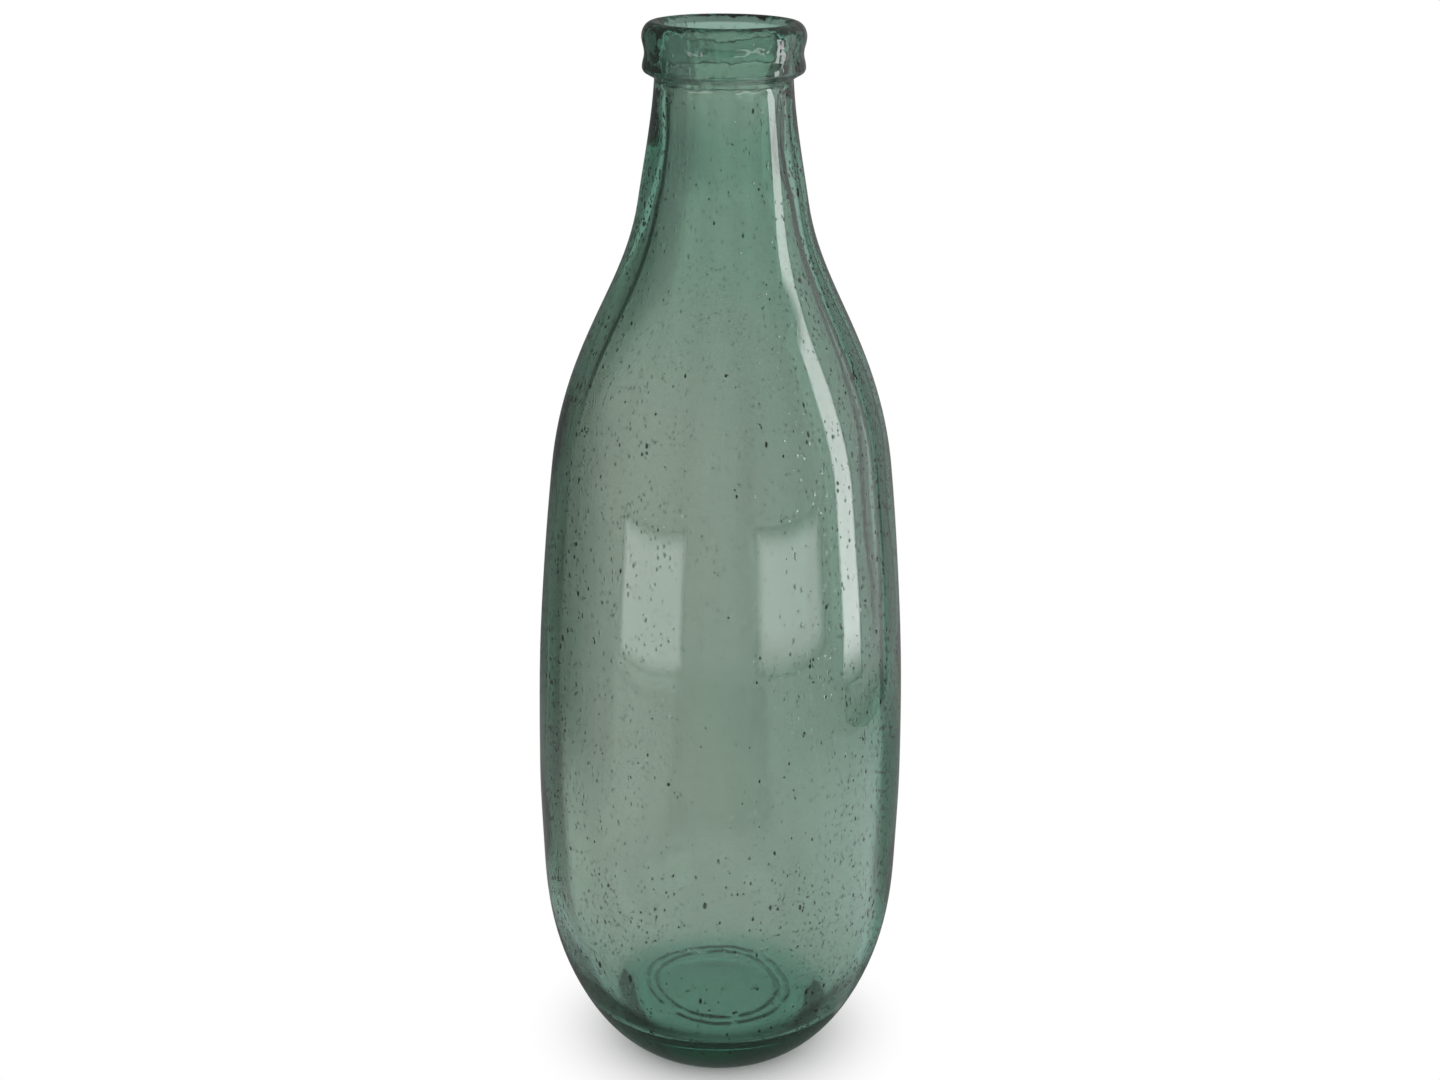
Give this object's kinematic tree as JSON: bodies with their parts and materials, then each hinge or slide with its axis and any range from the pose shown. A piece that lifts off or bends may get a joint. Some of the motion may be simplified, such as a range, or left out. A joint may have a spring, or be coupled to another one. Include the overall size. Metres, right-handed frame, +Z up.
{
  "type": "glass bottle",
  "caption": "Tall blown green glass bottle with a long belly, rounded heel, tapered neck and a ringed collar under a rolled rim.",
  "frame": {"origin": "centre of the foot, on the plane the bottle stands on", "axes": "+Z up along the bottle's axis, from the foot to the mouth; X and Y are any two directions across it"},
  "size_m": [0.1402, 0.1402, 0.4],
  "materials": {
    "green_glass": "clear smoky grey-green glass, fire-polished and slightly wavy, with small seeds (bubbles) through the wall"
  },
  "bodies": {
    "root": {"bottle": "green_glass"}
  },
  "joints": []
}
